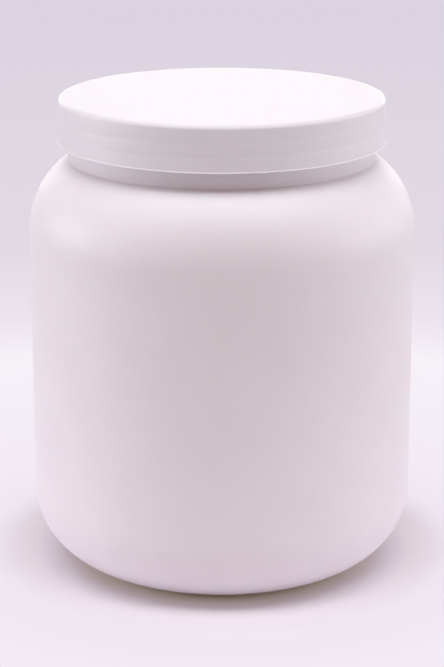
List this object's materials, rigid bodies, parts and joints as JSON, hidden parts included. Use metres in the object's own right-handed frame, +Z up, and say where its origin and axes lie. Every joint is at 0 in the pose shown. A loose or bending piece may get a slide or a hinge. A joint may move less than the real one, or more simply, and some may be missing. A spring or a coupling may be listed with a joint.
{
  "type": "plastic jar",
  "caption": "Wide-mouth round plastic storage jar with a domed shoulder and rounded base, shut with a low flat screw lid.",
  "frame": {"origin": "middle of the plane that the jar stands on, on the axis of the jar", "axes": "+Z up along the axis that jar and lid are turned about, -Y towards the front, +X to the front's right"},
  "size_m": [0.148, 0.148, 0.1827],
  "materials": {
    "jar_plastic": "blow-moulded white polyethylene, soft matte with a very fine grain",
    "lid_plastic": "injection-moulded white polypropylene, smooth satin"
  },
  "bodies": {
    "root": {"jar": "jar_plastic", "lid": "lid_plastic"}
  },
  "joints": []
}
